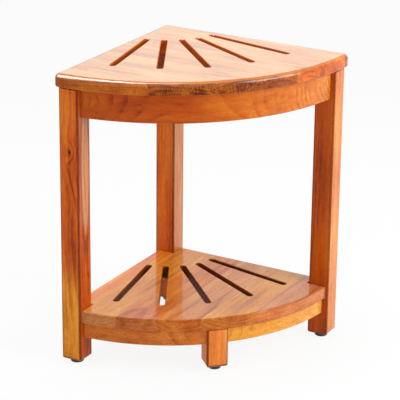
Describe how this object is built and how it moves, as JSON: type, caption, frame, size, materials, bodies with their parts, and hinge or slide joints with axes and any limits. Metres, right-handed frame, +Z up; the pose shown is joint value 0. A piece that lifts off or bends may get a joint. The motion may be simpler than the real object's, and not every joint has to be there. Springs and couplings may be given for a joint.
{
  "type": "corner shower bench",
  "caption": "Quarter-round wooden corner bench with a slotted seat above a slotted storage shelf, on square legs and levelling feet.",
  "frame": {"origin": "centre of the bench's square plan, on the floor", "axes": "+Z up; +X along the back wall from the back leg to the right leg; -Y along the side wall from the back leg to the left leg"},
  "size_m": [0.32, 0.32, 0.457],
  "materials": {
    "seat_wood": "oiled hardwood, semi-gloss",
    "shelf_wood": "oiled hardwood, semi-gloss",
    "leg_wood": "oiled hardwood, semi-gloss",
    "rail_wood": "oiled hardwood, semi-gloss",
    "block_wood": "sawn hardwood, thinly oiled",
    "dowel_wood": "raw beech",
    "screw_steel": "zinc plated",
    "insert_brass": "plain",
    "stem_steel": "zinc plated",
    "pad_plastic": "matte black"
  },
  "bodies": {
    "bench": {"seat_stave_1": "seat_wood", "seat_stave_2": "seat_wood", "seat_stave_3": "seat_wood", "seat_stave_4": "seat_wood", "seat_stave_5": "seat_wood", "seat_stave_6": "seat_wood", "seat_stave_7": "seat_wood", "shelf_stave_1": "shelf_wood", "shelf_stave_2": "shelf_wood", "shelf_stave_3": "shelf_wood", "shelf_stave_4": "shelf_wood", "shelf_stave_5": "shelf_wood", "shelf_stave_6": "shelf_wood", "leg_left": "leg_wood", "leg_back": "leg_wood", "leg_right": "leg_wood", "middle_foot": "leg_wood", "upper_apron": "rail_wood", "upper_rail_side": "rail_wood", "upper_rail_back": "rail_wood", "lower_rail_side": "rail_wood", "lower_rail_back": "rail_wood", "lower_apron_left": "rail_wood", "lower_apron_right": "rail_wood", "corner_block_back": "block_wood", "corner_block_left": "block_wood", "corner_block_right": "block_wood", "upper_dowels": "dowel_wood", "lower_dowels": "dowel_wood", "seat_screws": "screw_steel", "block_screws": "screw_steel", "shelf_screws": "screw_steel", "insert_nuts": "insert_brass"},
    "pad_left": {"pad_left": "pad_plastic"},
    "stem_left": {"stem_left": "stem_steel"},
    "pad_back": {"pad_back": "pad_plastic"},
    "stem_back": {"stem_back": "stem_steel"},
    "pad_right": {"pad_right": "pad_plastic"},
    "stem_right": {"stem_right": "stem_steel"},
    "pad_middle": {"pad_middle": "pad_plastic"},
    "stem_middle": {"stem_middle": "stem_steel"}
  },
  "joints": [
    {"name": "foot_left_travel", "type": "slide", "parent": "bench", "child": "pad_left", "axis": [0, 0, -1], "range_m": [0, 0.008]},
    {"name": "foot_left_turn", "type": "hinge", "parent": "pad_left", "child": "stem_left", "pos_m": [-0.138, -0.139, 0.005], "axis": [0, 0, -1], "range_deg": [0, 2880]},
    {"name": "foot_back_travel", "type": "slide", "parent": "bench", "child": "pad_back", "axis": [0, 0, -1], "range_m": [0, 0.008]},
    {"name": "foot_back_turn", "type": "hinge", "parent": "pad_back", "child": "stem_back", "pos_m": [-0.138, 0.138, 0.005], "axis": [0, 0, -1], "range_deg": [0, 2880]},
    {"name": "foot_right_travel", "type": "slide", "parent": "bench", "child": "pad_right", "axis": [0, 0, -1], "range_m": [0, 0.008]},
    {"name": "foot_right_turn", "type": "hinge", "parent": "pad_right", "child": "stem_right", "pos_m": [0.139, 0.138, 0.005], "axis": [0, 0, -1], "range_deg": [0, 2880]},
    {"name": "foot_middle_travel", "type": "slide", "parent": "bench", "child": "pad_middle", "axis": [0, 0, -1], "range_m": [0, 0.008]},
    {"name": "foot_middle_turn", "type": "hinge", "parent": "pad_middle", "child": "stem_middle", "pos_m": [0.0533, -0.0533, 0.005], "axis": [0, 0, -1], "range_deg": [0, 2880]}
  ],
  "couplings": [
    {"joint": "foot_left_turn", "follows": "foot_left_travel", "rad_per_m": 6283},
    {"joint": "foot_back_turn", "follows": "foot_back_travel", "rad_per_m": 6283},
    {"joint": "foot_right_turn", "follows": "foot_right_travel", "rad_per_m": 6283},
    {"joint": "foot_middle_turn", "follows": "foot_middle_travel", "rad_per_m": 6283}
  ]
}
